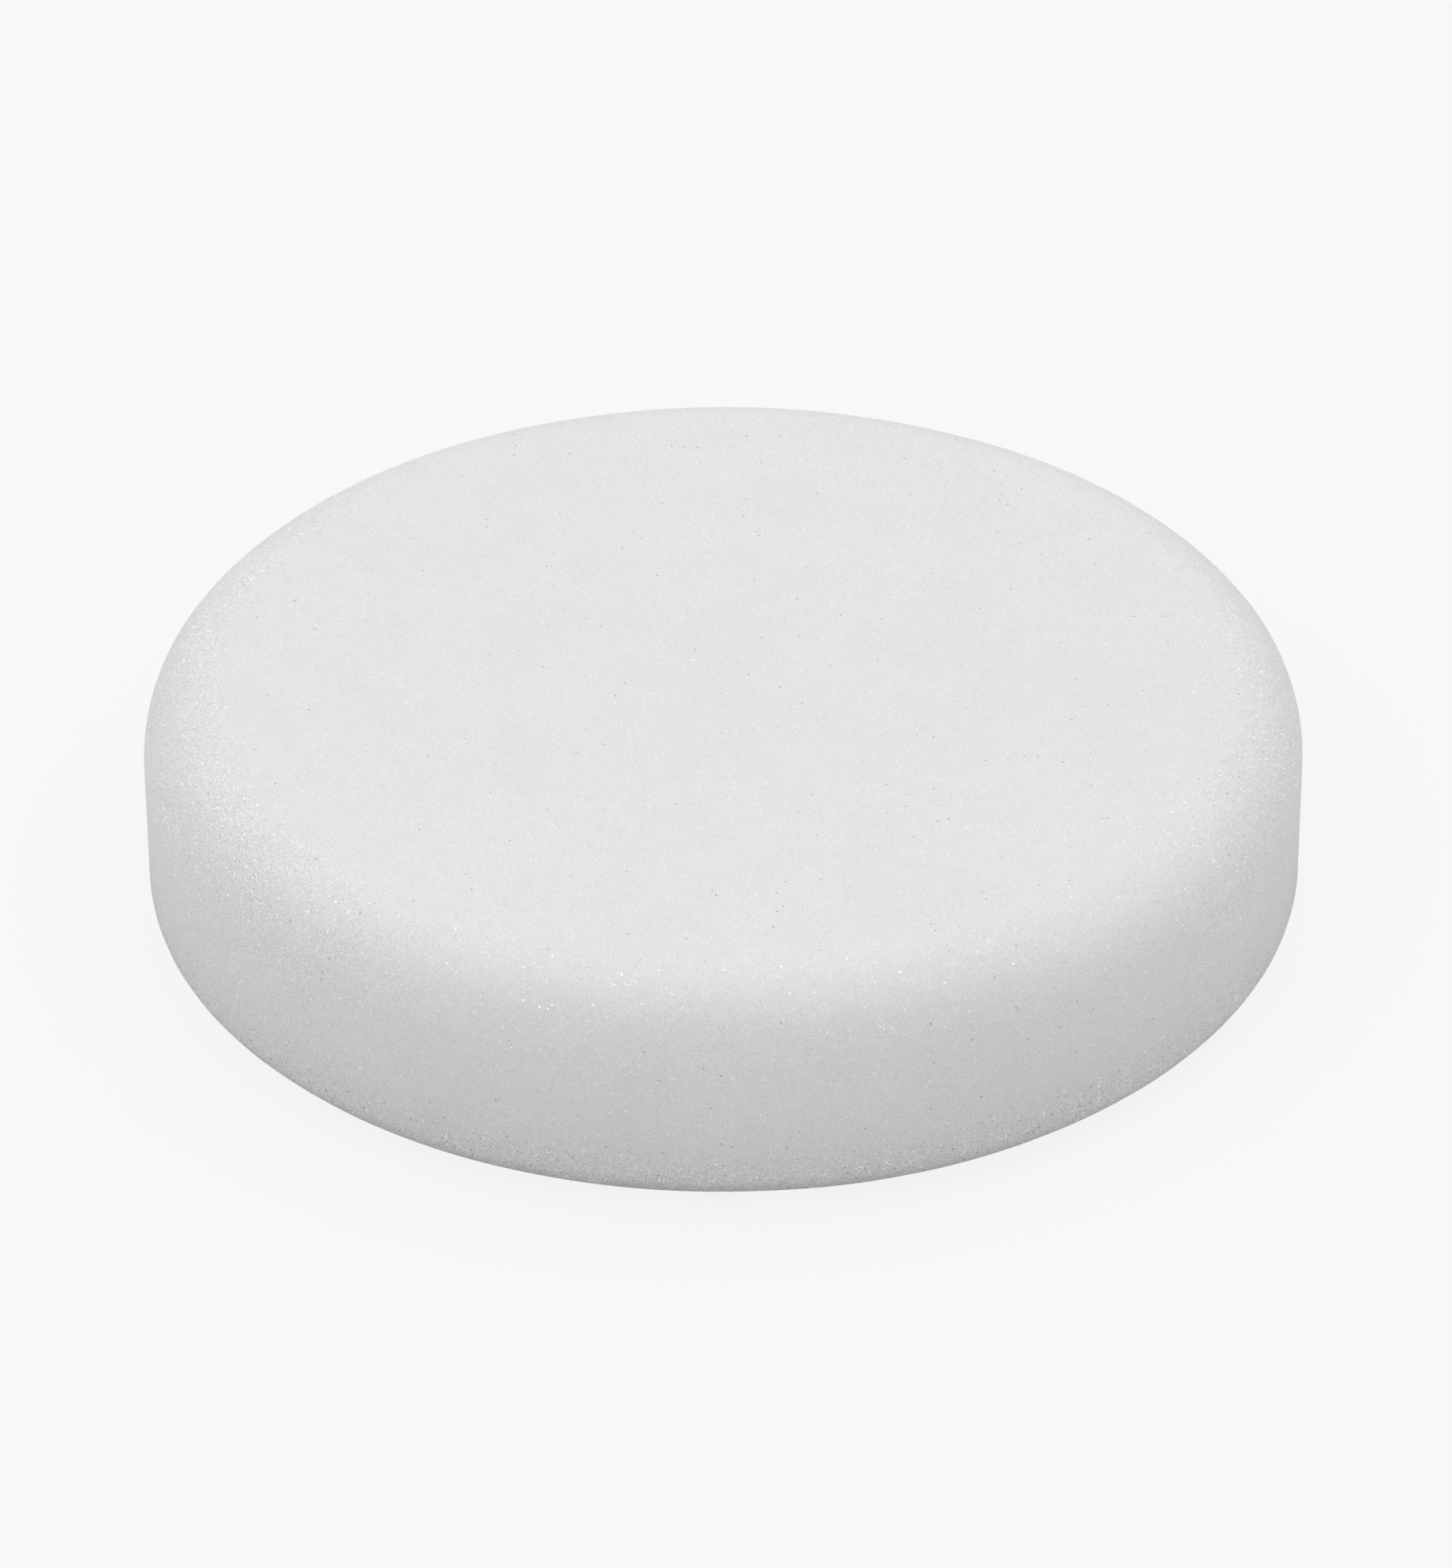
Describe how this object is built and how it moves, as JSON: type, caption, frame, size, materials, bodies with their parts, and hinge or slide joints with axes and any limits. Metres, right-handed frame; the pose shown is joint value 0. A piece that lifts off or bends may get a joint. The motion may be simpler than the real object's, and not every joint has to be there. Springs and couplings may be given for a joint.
{
  "type": "polishing pad",
  "caption": "Thick round white foam polishing pad with a rounded face edge and a recessed hook-and-loop backing on its underside.",
  "frame": {"origin": "centre of the loop backing's underside, at the base of the part", "axes": "+Z is the spin axis and points out of the polishing face; the part is round, so X and Y are equal"},
  "size_m": [0.15, 0.15, 0.0318],
  "materials": {
    "foam": "white open-cell polyurethane foam, matt, with fine cells and tiny bright cell windows",
    "bonding_film": "milky hot-melt adhesive film, satin",
    "knit_cloth": "light grey-white warp-knitted ground cloth, matt",
    "loop_yarn": "brushed white nylon loop pile, soft sheen"
  },
  "bodies": {
    "root": {"foam_disc": "foam", "bonding_film": "bonding_film", "ground_cloth": "knit_cloth", "loop_pile": "loop_yarn"}
  },
  "joints": []
}
